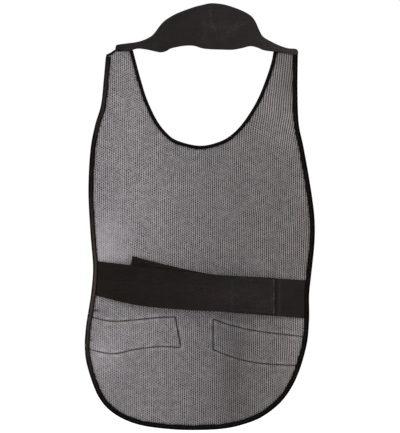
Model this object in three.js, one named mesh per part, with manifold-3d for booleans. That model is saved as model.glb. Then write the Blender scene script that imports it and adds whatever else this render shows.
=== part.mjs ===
// A frontal lead apron that hangs upright from the top of its neck yoke. Lengths in millimetres.
// +Z is up, the wearer's side faces -Y and the outer cover faces +Y.
// The origin is the hanging point, at the middle of the yoke's top edge.
import * as THREE from "three";
import { mergeVertices } from "three/addons/utils/BufferGeometryUtils.js";
import Module from "manifold-3d";

const wasm = await Module();
wasm.setup();

// Panel: how it bows between its side edges, and where that bow is deepest.
const PANEL_OFFSET = 3;
const PANEL_BOW_LEAST = 6;
const PANEL_BOW_WAIST = 16;
const WAIST_Z = -760;
const BOW_REACH = 330;
const HALF_WIDTH = 290;
const BOW_CENTRE = 0.3;
const GRID_X = [-319, -261, -203, -145, -87, -29, 29, 87, 145, 203, 261, 319];
const GRID_Z = [-1145, -1035, -925, -815, -705, -595, -485, -375, -265, -155, -45];

// Layers of the panel, each from its front to its back, measured from the panel's middle surface.
const LINING = [-3.0, -1.0];
const SHIELD_INNER = [-0.7, 0.2];
const SHIELD_OUTER = [0.5, 1.4];
const COVER = [1.7, 2.5];
const TAPE = [-4.6, 4.1];
const TAPE_CHANNEL = [-3.3, 2.8];
const STITCH = [-3.8, -3.3];
const LOOP_STRIP = [2.8, 3.8];

const GAP = 0.3;
const TAPE_WIDTH = 12.2;
const NECK_TAPE_WIDTH = 9.2;
const SHOULDER_TAPE_WIDTH = 8;
const FABRIC_INSET = 1.5;
const SHIELD_INSET = 14.5;
const STITCH_WIDTH = 1.6;

// Outline of the panel, as [x, z].
const SIDES_AND_HEM = [
  [-251, -131], [-257, -198], [-264, -264], [-280, -319], [-292, -385], [-297, -490], [-291.5, -600],
  [-284.5, -692], [-290, -765], [-302.5, -845], [-306, -905], [-298, -958], [-270.5, -1033],
  [-229, -1079], [-166, -1108], [-82, -1120], [-8, -1123], [56, -1119.5], [108, -1108.5],
  [163, -1086.5], [216.5, -1042.5], [253, -981], [278, -899], [285, -830], [285, -765], [290, -715],
  [298, -640], [300, -585], [296, -530], [284, -450], [270, -372], [258, -312], [255, -225],
  [256, -120.5],
];
const NECK = [
  [-180, -116.5], [-171.5, -150], [-158.5, -198], [-142, -250], [-117, -303], [-90, -338],
  [-61, -358], [-2, -371], [52, -359], [87, -336.5], [118, -301], [149, -250], [172, -194],
  [186, -150], [192, -118.5],
];
const SHOULDER_LEFT = [[-251, -131], [-238, -125], [-225, -116.5], [-180, -116.5]];
const SHOULDER_RIGHT = [[192, -118.5], [256, -120.5]];

// Sewn outlines of the two hook-and-loop strips, from the side edge round to the side edge.
const STRIP_PATH_LEFT = [
  [-300, -820], [-238, -834], [-174, -831], [-68, -823], [-53, -904], [-112, -902], [-174, -909],
  [-235, -920], [-310, -904],
];
const STRIP_PATH_RIGHT = [
  [290, -877], [159, -862], [84, -847], [32, -829], [32, -910], [88, -931], [159, -946], [290, -953],
];

// Neck yoke: a padded crescent between the shoulder tops.
const YOKE_TOP = [
  [-223, -106], [-191, -101], [-172, -98.4], [-145, -90], [-124, -75.5], [-103, -48], [-82, -31.7],
  [-56, -18.5], [-18, -4.8], [24, 5], [45, 4.2], [90, -7.3], [130, -27], [146, -48], [154, -67],
  [163, -83], [181, -94.5], [207, -107], [229, -114.3], [251, -115.5], [256, -122],
];
const YOKE_BOTTOM = [
  [256, -129.5], [238, -131], [215, -124], [190, -123.5], [163, -119.5], [148, -113], [130, -109.2],
  [108, -114], [77, -118.3], [24, -117], [-18, -108], [-61, -110.4], [-80, -115], [-103, -126],
  [-142, -118.6], [-165, -116], [-190, -121.5], [-221, -119.5],
];
const YOKE_GRID_X = [-240, -190, -150, -115, -80, -40, 0, 40, 80, 115, 150, 190, 270];
const YOKE_GRID_Z = [-160, 40];
const FOAM_GRID_X = [-205, -190, -150, -115, -80, -40, 0, 40, 80, 115, 150, 190, 210];
const YOKE_BACK = 7;
const YOKE_BACK_HALF = 175;
const FOAM_THIN = 0.5;
const FOAM_SWELL = 2.2;
const FOAM_HALF = 250;
const FOAM_INSET = 6;
const YOKE_COVER = 0.8;
const YOKE_RIM = 1.0;

// Belt: two straps that cross at the waist, the left one in front of the right one.
const STRAP = 1.8;
const HOOK = 1.2;
const LOOP = 1.0;
const ROOT_Y = -16.4;
const STRAP_LEAN = 4.25;
const LEFT_ROOT_X = -273.5;
const LEFT_LENGTH = 469;
const RIGHT_ROOT_X = 271;
const RIGHT_LENGTH = 456;
const STRAP_GRID_X = [-290, 290];
const STRAP_GRID_Z = [-900, -600];
const THREAD_RISE = 0.8;
const LEFT_TOP = [[-271.5, -676], [-185, -686], [-60, -702], [70, -713], [195, -719]];
const LEFT_BOTTOM = [[195, -815], [38, -808], [-67, -802], [-172, -791], [-271.5, -767]];
const RIGHT_TOP = [[269.5, -726], [144, -717], [47, -712], [-25, -700], [-109, -681], [-181, -662]];
const RIGHT_BOTTOM = [
  [-196, -757], [-109, -777], [-25, -796], [47, -808], [144, -816], [269.5, -826],
];
const HOOK_PAD = [[79, -810], [187, -814], [187, -724], [79, -719]];
const LOOP_PAD = [[-40, -791], [47, -803], [190, -812], [190, -725], [47, -717], [-40, -702]];
const HOOK_BOX = [[75, -809], [184, -811], [184, -723], [75, -718]];
const ROOT_BOX = [[253, -822], [266, -823], [266, -730], [253, -729]];

const PRISM_DEPTH = 240;

function panelMiddle(x, z) {
  const bow = PANEL_BOW_LEAST + PANEL_BOW_WAIST * Math.exp(-(((z - WAIST_Z) / BOW_REACH) ** 2));
  return PANEL_OFFSET + bow * (BOW_CENTRE - (x / HALF_WIDTH) ** 2);
}

function yokeMiddle(x) {
  const rise = Math.max(0, 1 - (x / YOKE_BACK_HALF) ** 2) ** 1.5;
  return YOKE_BACK * (rise - 1);
}

function foamHalf(x) {
  return FOAM_THIN + FOAM_SWELL * Math.max(0, 1 - (x / FOAM_HALF) ** 2);
}

function leftStrapMiddle(x) {
  return ROOT_Y - (STRAP_LEAN * (x - LEFT_ROOT_X)) / LEFT_LENGTH;
}

function rightStrapMiddle(x) {
  return ROOT_Y + (STRAP_LEAN * (RIGHT_ROOT_X - x)) / RIGHT_LENGTH;
}

// A closed geometry as a solid that can be joined and cut.
function toSolid(geometry) {
  const bare = new THREE.BufferGeometry();
  bare.setAttribute("position", geometry.getAttribute("position"));
  bare.setIndex(geometry.index);
  const merged = mergeVertices(bare, 1e-4);
  const mesh = new wasm.Mesh({
    numProp: 3,
    vertProperties: merged.attributes.position.array,
    triVerts: new Uint32Array(merged.index.array),
  });
  return new wasm.Manifold(mesh);
}

function toGeometry(solid) {
  const mesh = solid.getMesh();
  const geometry = new THREE.BufferGeometry();
  geometry.setAttribute("position", new THREE.BufferAttribute(mesh.vertProperties, 3));
  geometry.setIndex(new THREE.BufferAttribute(mesh.triVerts, 1));
  const faceted = geometry.toNonIndexed();
  faceted.computeVertexNormals();
  return faceted;
}

// A slab over a grid of x and z lines, between the surfaces y = front(x, z) and y = back(x, z).
function slab(xs, zs, front, back) {
  const position = [];
  const index = [];
  const layer = xs.length * zs.length;
  for (const surface of [front, back]) {
    zs.forEach((z) => xs.forEach((x) => position.push(x, surface(x, z), z)));
  }
  const at = (i, j) => j * xs.length + i;
  for (let j = 0; j < zs.length - 1; j += 1) {
    for (let i = 0; i < xs.length - 1; i += 1) {
      const a = at(i, j);
      const b = at(i + 1, j);
      const c = at(i + 1, j + 1);
      const d = at(i, j + 1);
      index.push(a, b, c, a, c, d);
      index.push(a + layer, c + layer, b + layer, a + layer, d + layer, c + layer);
    }
  }
  const wall = (p, q) => index.push(q, p, p + layer, q, p + layer, q + layer);
  const right = xs.length - 1;
  const top = zs.length - 1;
  for (let i = 0; i < right; i += 1) {
    wall(at(i, 0), at(i + 1, 0));
    wall(at(i + 1, top), at(i, top));
  }
  for (let j = 0; j < top; j += 1) {
    wall(at(right, j), at(right, j + 1));
    wall(at(0, j + 1), at(0, j));
  }
  const geometry = new THREE.BufferGeometry();
  geometry.setAttribute("position", new THREE.Float32BufferAttribute(position, 3));
  geometry.setIndex(index);
  return toSolid(geometry);
}

// A straight prism along Y over a closed outline of [x, z] points.
function prism(points) {
  const shape = new THREE.Shape(points.map(([x, z]) => new THREE.Vector2(x, z)));
  const geometry = new THREE.ExtrudeGeometry(shape, { depth: PRISM_DEPTH, bevelEnabled: false });
  geometry.rotateX(Math.PI / 2);
  geometry.translate(0, PRISM_DEPTH / 2, 0);
  return toSolid(geometry);
}

function smooth(points, perSpan) {
  const spline = new THREE.SplineCurve(points.map(([x, z]) => new THREE.Vector2(x, z)));
  return spline.getPoints((points.length - 1) * perSpan).map((p) => [p.x, p.y]);
}

function leftNormal([ax, az], [bx, bz]) {
  const length = Math.hypot(bx - ax, bz - az);
  return [-(bz - az) / length, (bx - ax) / length];
}

// A path moved to its left by a distance: inward, for a closed path that runs counterclockwise.
function moved(points, distance, closed) {
  const last = points.length - 1;
  return points.map((point, k) => {
    const before = points[k > 0 ? k - 1 : closed ? last : 0];
    const after = points[k < last ? k + 1 : closed ? 0 : last];
    const n1 = before === point ? leftNormal(point, after) : leftNormal(before, point);
    const n2 = after === point ? n1 : leftNormal(point, after);
    const share = distance / (1 + n1[0] * n2[0] + n1[1] * n2[1]);
    return [point[0] + (n1[0] + n2[0]) * share, point[1] + (n1[1] + n2[1]) * share];
  });
}

function band(path, from, to) {
  return [...moved(path, from, false), ...moved(path, to, false).reverse()];
}

function panelSlab([front, back]) {
  return slab(
    GRID_X,
    GRID_Z,
    (x, z) => panelMiddle(x, z) + front,
    (x, z) => panelMiddle(x, z) + back,
  );
}

const object = new THREE.Group();
object.name = "lead_apron";

function addGroup(name) {
  const group = new THREE.Group();
  group.name = name;
  object.add(group);
  return group;
}

function addNode(group, name, solid, colour, roughness) {
  const material = new THREE.MeshStandardMaterial({ color: colour, roughness, metalness: 0 });
  const mesh = new THREE.Mesh(toGeometry(solid), material);
  mesh.name = name;
  group.add(mesh);
}

// Panel: lining, two shield sheets and an outer cover, bound by tape along every edge.
const sides = smooth(SIDES_AND_HEM, 2);
const neck = smooth(NECK, 2);
const silhouette = [
  ...sides,
  ...[...neck].reverse(),
  ...SHOULDER_LEFT.slice(1, -1).reverse(),
];
const neckPath = [...neck].reverse();
const silhouettePrism = prism(silhouette);
const fabricPrism = prism(moved(silhouette, FABRIC_INSET, true));
const tapeSlab = panelSlab(TAPE).subtract(
  panelSlab(TAPE_CHANNEL).intersect(prism(moved(silhouette, FABRIC_INSET - GAP, true))),
);

// The part of the plane within a distance below either shoulder top, past both of its ends.
function shoulderZones(depth) {
  return [SHOULDER_LEFT, SHOULDER_RIGHT].map((top) => {
    const first = top[0];
    const end = top[top.length - 1];
    const wide = [[first[0] - 30, first[1]], ...top, [end[0] + 30, end[1]]];
    return prism(band(wide, 30, -depth));
  });
}

function without(solid, cuts) {
  return cuts.reduce((rest, cut) => rest.subtract(cut), solid);
}

// The panel's outline moved inward by a distance.
function insetPrism(distance) {
  const rims = [sides, neckPath].map((path) => prism(band(path, -5, distance)));
  return without(silhouettePrism, [...rims, ...shoulderZones(distance)]);
}

function tapeAlong(path, width) {
  const tape = tapeSlab.intersect(prism(band(path, 0, width))).intersect(silhouettePrism);
  return without(tape, shoulderZones(SHOULDER_TAPE_WIDTH + GAP));
}

function shoulderTape(top) {
  const tape = prism(band(top, 0, -SHOULDER_TAPE_WIDTH)).intersect(silhouettePrism);
  return tapeSlab.intersect(tape);
}

const shieldPrism = insetPrism(SHIELD_INSET);
const insideTape = insetPrism(TAPE_WIDTH + GAP);

const panel = addGroup("panel");
addNode(panel, "mesh_lining", panelSlab(LINING).intersect(fabricPrism), 0x747070, 0.95);
addNode(panel, "shield_sheet_inner", panelSlab(SHIELD_INNER).intersect(shieldPrism), 0x55585c, 0.6);
addNode(panel, "shield_sheet_outer", panelSlab(SHIELD_OUTER).intersect(shieldPrism), 0x55585c, 0.6);
addNode(panel, "outer_cover", panelSlab(COVER).intersect(fabricPrism), 0x1c1e22, 0.7);
addNode(panel, "edge_binding", tapeAlong(sides, TAPE_WIDTH), 0x161616, 0.55);
addNode(panel, "neck_binding", tapeAlong(neckPath, NECK_TAPE_WIDTH), 0x161616, 0.55);
addNode(panel, "shoulder_binding_left", shoulderTape(SHOULDER_LEFT), 0x161616, 0.55);
addNode(panel, "shoulder_binding_right", shoulderTape(SHOULDER_RIGHT), 0x161616, 0.55);

function stripNodes(side, path) {
  const seam = panelSlab(STITCH).intersect(prism(band(path, STITCH_WIDTH / 2, -STITCH_WIDTH / 2)));
  addNode(panel, "seam_stitch_" + side, seam.intersect(insideTape), 0x2a2727, 0.7);
  const strip = panelSlab(LOOP_STRIP).intersect(prism(path)).intersect(insideTape);
  addNode(panel, "loop_strip_" + side, strip, 0x141414, 0.98);
}
stripNodes("left", STRIP_PATH_LEFT);
stripNodes("right", STRIP_PATH_RIGHT);

// Yoke: a foam crescent between a front cover with a turned rim and a back cover.
const yokeTop = smooth(YOKE_TOP, 2);
const yokeBottom = smooth(YOKE_BOTTOM, 2);
const yokeOutline = [...yokeTop, ...yokeBottom].reverse();
const yokePrism = prism(yokeOutline);
const foamRims = [yokeTop, yokeBottom].map((path) => prism(band(path, 5, -FOAM_INSET)));
const foamFront = (x) => yokeMiddle(x) - foamHalf(x);
const foamBack = (x) => yokeMiddle(x) + foamHalf(x);

function yokeSlab(xs, front, back) {
  return slab(xs, YOKE_GRID_Z, front, back);
}

const tray = yokeSlab(YOKE_GRID_X, (x) => foamFront(x) - GAP - YOKE_COVER, foamBack);
const hollow = yokeSlab(YOKE_GRID_X, (x) => foamFront(x) - GAP, (x) => foamBack(x) + 1);
const hollowOutline = prism(moved(yokeOutline, YOKE_RIM, true));
const backCover = yokeSlab(
  YOKE_GRID_X,
  (x) => foamBack(x) + GAP,
  (x) => foamBack(x) + GAP + YOKE_COVER,
);
const foam = without(yokeSlab(FOAM_GRID_X, foamFront, foamBack).intersect(yokePrism), foamRims);
const yoke = addGroup("yoke");
addNode(
  yoke,
  "yoke_front_cover",
  tray.intersect(yokePrism).subtract(hollow.intersect(hollowOutline)),
  0x292422,
  0.85,
);
addNode(yoke, "yoke_foam_pad", foam, 0x8a8a86, 0.95);
addNode(yoke, "yoke_back_cover", backCover.intersect(yokePrism), 0x292422, 0.85);

// Belt: each strap is a flat web, and the pads that hold the two together lie between them.
function strapSlab(middle, front, back) {
  return slab(STRAP_GRID_X, STRAP_GRID_Z, (x) => middle(x) + front, (x) => middle(x) + back);
}

const HALF_STRAP = STRAP / 2;
const leftOutline = [...smooth(LEFT_BOTTOM, 2), ...smooth(LEFT_TOP, 2)].reverse();
const rightOutline = [...smooth(RIGHT_BOTTOM, 2).reverse(), ...smooth(RIGHT_TOP, 2).reverse()];
const threadSlab = (middle) => strapSlab(middle, -HALF_STRAP - THREAD_RISE, -HALF_STRAP - GAP);
const ringOf = (box) => prism(box).subtract(prism(moved(box, STITCH_WIDTH, true)));

const beltLeft = addGroup("belt_left");
addNode(
  beltLeft,
  "belt_strap_left",
  strapSlab(leftStrapMiddle, -HALF_STRAP, HALF_STRAP).intersect(prism(leftOutline)),
  0x221d19,
  0.9,
);
addNode(
  beltLeft,
  "belt_hook_pad",
  strapSlab(leftStrapMiddle, HALF_STRAP + GAP, HALF_STRAP + GAP + HOOK).intersect(prism(HOOK_PAD)),
  0x0f0f0f,
  0.6,
);
addNode(
  beltLeft,
  "belt_hook_stitch",
  threadSlab(leftStrapMiddle).intersect(ringOf(HOOK_BOX)),
  0x14110f,
  0.7,
);

const beltRight = addGroup("belt_right");
addNode(
  beltRight,
  "belt_strap_right",
  strapSlab(rightStrapMiddle, -HALF_STRAP, HALF_STRAP).intersect(prism(rightOutline)),
  0x25201c,
  0.9,
);
addNode(
  beltRight,
  "belt_loop_pad",
  strapSlab(rightStrapMiddle, -HALF_STRAP - GAP - LOOP, -HALF_STRAP - GAP).intersect(prism(LOOP_PAD)),
  0x111010,
  0.98,
);
addNode(
  beltRight,
  "belt_root_stitch",
  threadSlab(rightStrapMiddle).intersect(ringOf(ROOT_BOX)),
  0x14110f,
  0.7,
);

export default object;
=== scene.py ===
"""The looks of the frontal lead apron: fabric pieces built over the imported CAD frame.

Working lengths are millimetres, turned into metres when a mesh is made. +Z is up, and the wearer's side
faces -Y.
"""

import math

import bmesh
import bpy
import numpy as np
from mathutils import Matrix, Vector
from mathutils.geometry import delaunay_2d_cdt


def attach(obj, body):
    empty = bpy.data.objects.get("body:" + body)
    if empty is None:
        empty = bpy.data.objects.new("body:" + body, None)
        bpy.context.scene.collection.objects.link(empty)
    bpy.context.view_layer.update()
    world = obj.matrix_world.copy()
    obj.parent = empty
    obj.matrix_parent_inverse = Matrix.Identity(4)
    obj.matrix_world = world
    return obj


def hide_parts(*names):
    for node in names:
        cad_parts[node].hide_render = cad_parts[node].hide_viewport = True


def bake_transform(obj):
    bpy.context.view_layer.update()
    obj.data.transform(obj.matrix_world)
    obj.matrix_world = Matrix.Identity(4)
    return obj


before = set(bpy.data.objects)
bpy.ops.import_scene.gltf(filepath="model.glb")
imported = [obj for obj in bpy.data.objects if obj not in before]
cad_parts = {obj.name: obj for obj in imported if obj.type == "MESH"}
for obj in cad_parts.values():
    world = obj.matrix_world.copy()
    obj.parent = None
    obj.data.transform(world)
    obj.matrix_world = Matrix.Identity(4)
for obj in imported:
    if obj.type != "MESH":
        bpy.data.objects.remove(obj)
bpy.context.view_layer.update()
TAU = 2 * math.pi

# ---------------- outlines, as the frame has them

SIDES = [
    (-251, -131), (-257, -198), (-264, -264), (-280, -319), (-292, -385), (-297, -490), (-291.5, -600),
    (-284.5, -692), (-290, -765), (-302.5, -845), (-306, -905), (-298, -958), (-270.5, -1033),
    (-229, -1079), (-166, -1108), (-82, -1120), (-8, -1123), (56, -1119.5), (108, -1108.5), (163, -1086.5),
    (216.5, -1042.5), (253, -981), (278, -899), (285, -830), (285, -765), (290, -715), (298, -640),
    (300, -585), (296, -530), (284, -450), (270, -372), (258, -312), (255, -225), (256, -120.5),
]
NECK = [
    (192, -118.5), (186, -150), (172, -194), (149, -250), (118, -301), (87, -336.5), (52, -359),
    (-2, -371), (-61, -358), (-90, -338), (-117, -303), (-142, -250), (-158.5, -198), (-171.5, -150),
    (-180, -116.5),
]
SHOULDER_LEFT = [(-180, -116.5), (-205, -115), (-225, -116.5), (-238, -125), (-251, -131)]
SHOULDER_RIGHT = [(256, -120.5), (224, -119), (192, -118.5)]
STRIP_LEFT = [
    (-300, -820), (-238, -834), (-174, -831), (-112, -825), (-68, -823), (-53, -904), (-112, -902),
    (-174, -909), (-235, -920), (-310, -904),
]
STRIP_RIGHT = [
    (290, -877), (159, -862), (84, -847), (32, -829), (32, -910), (88, -931), (159, -946), (290, -953),
]
YOKE_TOP = [
    (-225.5, -113), (-223, -106), (-207, -103), (-191, -101), (-172, -98.4), (-158, -95), (-145, -90),
    (-134, -84), (-124, -75.5), (-103, -48), (-82, -31.7), (-56, -18.5), (-18, -4.8), (3, 0.6),
    (24, 5), (45, 4.2), (66, 0.5), (90, -7.3), (110, -15.5), (130, -27), (140, -38), (147, -51),
    (154, -67), (163, -83), (181, -94.5), (207, -107), (229, -114.3), (247, -115.5), (254, -118.5),
    (256.5, -125),
]
YOKE_BOTTOM = [
    (256, -130.5), (243, -131.5), (232, -130), (222, -126.5), (208, -123.5), (190, -123.5),
    (176, -122), (163, -119.5), (148, -113), (130, -109.2), (108, -114), (92, -117), (77, -118.3),
    (50, -117.8), (24, -117), (3, -114.5), (-18, -108), (-40, -107.3), (-61, -110.4), (-80, -115),
    (-92, -122), (-106, -125.6), (-124, -122.5), (-142, -118.6), (-165, -115.7), (-178, -118.5),
    (-190, -121.5), (-205, -119.5), (-217, -119), (-227, -122),
]
LEFT_TOP = [(-285, -674), (-185, -686), (-60, -702), (70, -713), (195, -719)]
LEFT_BOTTOM = [(-285, -764), (-172, -791), (-67, -802), (38, -808), (195, -815)]
RIGHT_TOP = [(285, -727), (144, -717), (47, -712), (-25, -700), (-109, -681), (-181, -662)]
RIGHT_BOTTOM = [(285, -827), (144, -816), (47, -808), (-25, -796), (-109, -777), (-196, -757)]
# The belt's edges as they show, all the way round.
BELT_EDGES = np.array(
    LEFT_BOTTOM[:1] + LEFT_TOP[:1] + RIGHT_TOP[::-1] + RIGHT_BOTTOM[:1] + LEFT_BOTTOM[::-1], float
)
# Sewn boxes on the left strap's free end and near the right strap's root, and the pads between the straps.
HOOK_BOX = [(81, -804), (185, -808.5), (185, -725.5), (81, -720.5)]
ROOT_BOX = [(251, -821), (258, -821.5), (258, -729), (251, -728.5)]
HOOK_CORNERS = [(79, -806), (187, -810.5), (187, -723.5), (79, -718.5)]
LOOP_CORNERS = [(-40, -789), (47, -802), (188, -811), (188, -726), (47, -718), (-40, -704)]

# ---------------- driving dimensions

ROOT_Y = -16.4
STRAP_LEAN = 4.25
STRAP_WIDTH, STRAP_LENGTH, STRAP_HALF = 95, 460, 0.9
SIDE_TAPE, NECK_TAPE, LEFT_TAPE, RIGHT_TAPE = 13.1, 9.2, 5.4, 6.0
TAPE_LIFT = 2.1
# Each layer's faces, from the panel's middle surface.
LINING_FRONT, LINING_BACK = -3.0, -1.0
COVER_FRONT, COVER_BACK = 1.7, 2.6
SHIELDS = ("inner", -0.7, 0.2), ("outer", 0.5, 1.4)
THREAD_SEAT = LINING_FRONT - 0.15
STRAP_SEAT = 1.15  # from the lining's face to the middle of a strap's root


# ---------------- plane geometry


def spline(points, per_span):
    """A uniform Catmull-Rom curve through the points."""
    p = np.array(points, float)
    p = np.vstack([2 * p[0] - p[1], p, 2 * p[-1] - p[-2]])
    out = []
    for i in range(1, len(p) - 2):
        for k in range(per_span):
            t = k / per_span
            v0 = (p[i + 1] - p[i - 1]) / 2
            v1 = (p[i + 2] - p[i]) / 2
            out.append(
                (2 * p[i] - 2 * p[i + 1] + v0 + v1) * t**3
                + (-3 * p[i] + 3 * p[i + 1] - 2 * v0 - v1) * t**2
                + v0 * t
                + p[i]
            )
    out.append(p[-2])
    return np.array(out)


def run_along(path):
    """How far along the path each of its points is."""
    return np.concatenate([[0], np.cumsum(np.linalg.norm(np.diff(path, axis=0), axis=1))])


def ring(path):
    """The path with its first point again at its end."""
    return np.vstack([path, path[:1]])


def resample(path, step):
    """The same path with points an even distance apart."""
    path = np.asarray(path, float)
    run = run_along(path)
    n = max(2, int(round(run[-1] / step)) + 1)
    s = np.linspace(0, run[-1], n)
    return np.stack([np.interp(s, run, path[:, k]) for k in range(path.shape[1])], 1)


def normals_of(path):
    """Unit normals to the left of an open path, which is the inner side of the apron's edges."""
    d = np.gradient(path, axis=0)
    d /= np.linalg.norm(d, axis=1)[:, None]
    return np.stack([-d[:, 1], d[:, 0]], 1)


def inward(path, distance):
    return path + normals_of(path) * distance


CHUNK = 4000  # points measured at a time


def to_path(points, path):
    """Each point's distance to a path, and how far along it the nearest place is."""
    a, b = path[:-1], path[1:]
    ab = b - a
    length = np.linalg.norm(ab, axis=1)
    run = run_along(path)
    dist = np.empty(len(points))
    along = np.empty(len(points))
    for i in range(0, len(points), CHUNK):
        p = points[i : i + CHUNK, None, :]
        t = np.clip(((p - a) * ab).sum(2) / (length**2), 0, 1)
        q = a + t[:, :, None] * ab
        d = np.linalg.norm(p - q, axis=2)
        k = d.argmin(1)
        rows = np.arange(len(k))
        dist[i : i + CHUNK] = d[rows, k]
        along[i : i + CHUNK] = run[k] + t[rows, k] * length[k]
    return dist, along


def inside(points, outline):
    """Whether each point is inside a closed outline."""
    found = np.zeros(len(points), bool)
    for (ax, az), (bx, bz) in zip(outline, np.roll(outline, -1, axis=0)):
        crosses = (az > points[:, 1]) != (bz > points[:, 1])
        if crosses.any():
            x = ax + (points[:, 1] - az) * (bx - ax) / (bz - az + 1e-12)
            found ^= crosses & (points[:, 0] < x)
    return found


def hex_points(low, high, step):
    """A triangular grid of points over a rectangle."""
    rows = []
    for k, z in enumerate(np.arange(low[1], high[1], step * 0.866)):
        x = np.arange(low[0] + (k % 2) * step / 2, high[0], step)
        rows.append(np.stack([x, np.full_like(x, z)], 1))
    return np.vstack(rows)


LINE_STEP, LINE_REACH = 3.4, 5.2  # rows of finer points along a line, and the clear band they lie in
LINE_OFFSETS = 0, 1.4, -1.4, 3, -3
LINE_SPACING = 0.9  # two rows' points closer than this become one


def line_points(line):
    """Rows of points on and beside a line."""
    return np.vstack([inward(line, offset) for offset in LINE_OFFSETS])


def fill(outline, step, lines=()):
    """Triangles over a closed outline, finer along the lines: points, triangles and the rim's count."""
    rim = resample(ring(outline), step)[:-1]
    grid = hex_points(rim.min(0), rim.max(0), step)
    grid = grid[inside(grid, rim)]
    grid = grid[to_path(grid, ring(rim))[0] > step * 0.55]
    lines = [resample(line, LINE_STEP) for line in lines]
    for line in lines:
        grid = grid[to_path(grid, line)[0] > LINE_REACH]
    if lines:
        extra = np.vstack([line_points(line) for line in lines])
        extra = extra[inside(extra, rim)]
        extra = extra[to_path(extra, ring(rim))[0] > step * 0.4]
        keep = {}
        for p in extra:
            keep.setdefault((round(p[0] / LINE_SPACING), round(p[1] / LINE_SPACING)), p)
        grid = np.vstack([grid, np.array(list(keep.values()))])
    points = np.vstack([rim, grid])
    made = delaunay_2d_cdt([Vector(p) for p in points], [], [list(range(len(rim)))], 1, 1e-7)
    flat = np.array([tuple(v) for v in made[0]])
    tris = np.array([list(f) for f in made[2]])
    a, b, c = (flat[tris[:, k]] for k in range(3))
    area = (b[:, 0] - a[:, 0]) * (c[:, 1] - a[:, 1]) - (b[:, 1] - a[:, 1]) * (c[:, 0] - a[:, 0])
    tris[area < 0] = tris[area < 0][:, ::-1]
    # A corner triangle with all three points on the rim would have no thickness in a pad.
    tris = tris[(tris >= len(rim)).any(1)]
    used, packed = np.unique(tris, return_inverse=True)
    return flat[used], packed.reshape(-1, 3), int((used < len(rim)).sum())


# ---------------- the panel's surface


def bell(x, width):
    """1 where x is 0, falling away to both sides."""
    return np.exp(-((x / width) ** 2))


def lobe(x, z, centre_x, centre_z, reach_x, reach_z):
    """A soft spot, 1 at its centre."""
    return np.exp(-(((x - centre_x) / reach_x) ** 2) - ((z - centre_z) / reach_z) ** 2)


def ease(x, low, high):
    """A smooth step from 0 at low to 1 at high."""
    t = np.clip((x - low) / (high - low), 0, 1)
    return t * t * (3 - 2 * t)


def panel_mid(x, z):
    """The hanging panel's middle surface: the frame's bow, with the slow waves of a limp heavy sheet."""
    bow = 6 + 16 * bell(z + 760, 330)
    y = 3 + bow * (0.3 - (x / 290) ** 2)
    hem = 2.6 * np.sin(TAU * (x + 35) / 205) * bell(z + 1110, 130)
    chest = 2.2 * np.sin(TAU * (x - 20) / 330 + 0.6) * bell(z + 500, 110)
    pull = 1.6 * np.sin(TAU * (x + 0.35 * z) / 170) * bell(z + 300, 110)
    return y + hem + chest + pull


def rounded(distance, reach):
    """A quarter circle's height, from 0 at an edge to 1 at its reach."""
    return np.sqrt(1 - (1 - np.clip(distance / reach, 0, 1)) ** 2)


def smooth_noise(x, z, scale, seed):
    """Slow unevenness made of a few sine waves, the same on each run."""
    rng = np.random.default_rng(seed)
    total = np.zeros_like(x)
    for _ in range(7):
        angle, phase = rng.uniform(0, TAU), rng.uniform(0, TAU)
        k = TAU / (scale * rng.uniform(0.7, 1.6))
        total += np.sin(k * (x * math.cos(angle) + z * math.sin(angle)) + phase)
    return total / 3.5


sides = resample(spline(SIDES, 8), 4)
neck = resample(spline(NECK, 8), 4)
shoulder_left = resample(spline(SHOULDER_LEFT, 6), 4)
shoulder_right = resample(spline(SHOULDER_RIGHT, 6), 4)
silhouette = np.vstack([sides[:-1], shoulder_right[:-1], neck[:-1], shoulder_left[:-1]])


def strip_seam(corners, turn):
    """The sewn outline of a strip: two long curves, joined by the straight end after the turn."""
    halves = corners[:turn], corners[turn:]
    return resample(np.vstack([resample(spline(half, 6), 4) for half in halves]), 3)


seam_left = strip_seam(STRIP_LEFT, 5)
seam_right = strip_seam(STRIP_RIGHT, 4)
TAPED = (sides, SIDE_TAPE), (neck, NECK_TAPE), (shoulder_left, LEFT_TAPE), (shoulder_right, RIGHT_TAPE)


def past_tape(points):
    """How far each point lies inward of the nearest binding's inner edge."""
    return np.min([to_path(points, path)[0] - width for path, width in TAPED], axis=0)


def tape_rise(x, z):
    """How much the binding is lifted where a belt strap runs under it."""
    left = ease(-x, 240, 260) * ease(z, -776, -768) * ease(-z, 666, 674)
    right = ease(x, 240, 260) * ease(z, -834, -826) * ease(-z, 718, 726)
    return left + right


def lining_shade(x, z):
    """How much painted shade (above 0) or painted highlight (below 0) the lining has: dark along its seams
    and next to the bindings, paler beside the seams.
    """
    p = np.stack([x, z], 1)
    # Painted shade along the bindings' inner edges.
    out = 0.75 * bell(past_tape(p), 1.9) * (1 + 0.3 * np.sin(TAU * (x + z) / 31))
    for seam, strength in ((seam_left, 1.15), (seam_right, 1.0)):
        d, s = to_path(p, seam)
        # Painted shade in each seam's groove, and a painted highlight on the puff beside it.
        out += strength * bell(d, 1.5) * (0.85 + 0.15 * np.sin(TAU * s / 47))
        out -= 0.13 * bell(d - 5.5, 3.0) * (1 + 0.9 * np.sin(TAU * s / 43))
        out += 0.6 * bell(d, 2.3) * lobe(x, z, -60, -863, 9, 34)
    # Two short tacks beside the left binding.
    out += 1.3 * lobe(x, z, -277, -806, 7, 2.0) + 1.3 * lobe(x, z, -291, -884, 5, 2.2)
    return np.clip(out, -0.6, 1)


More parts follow.
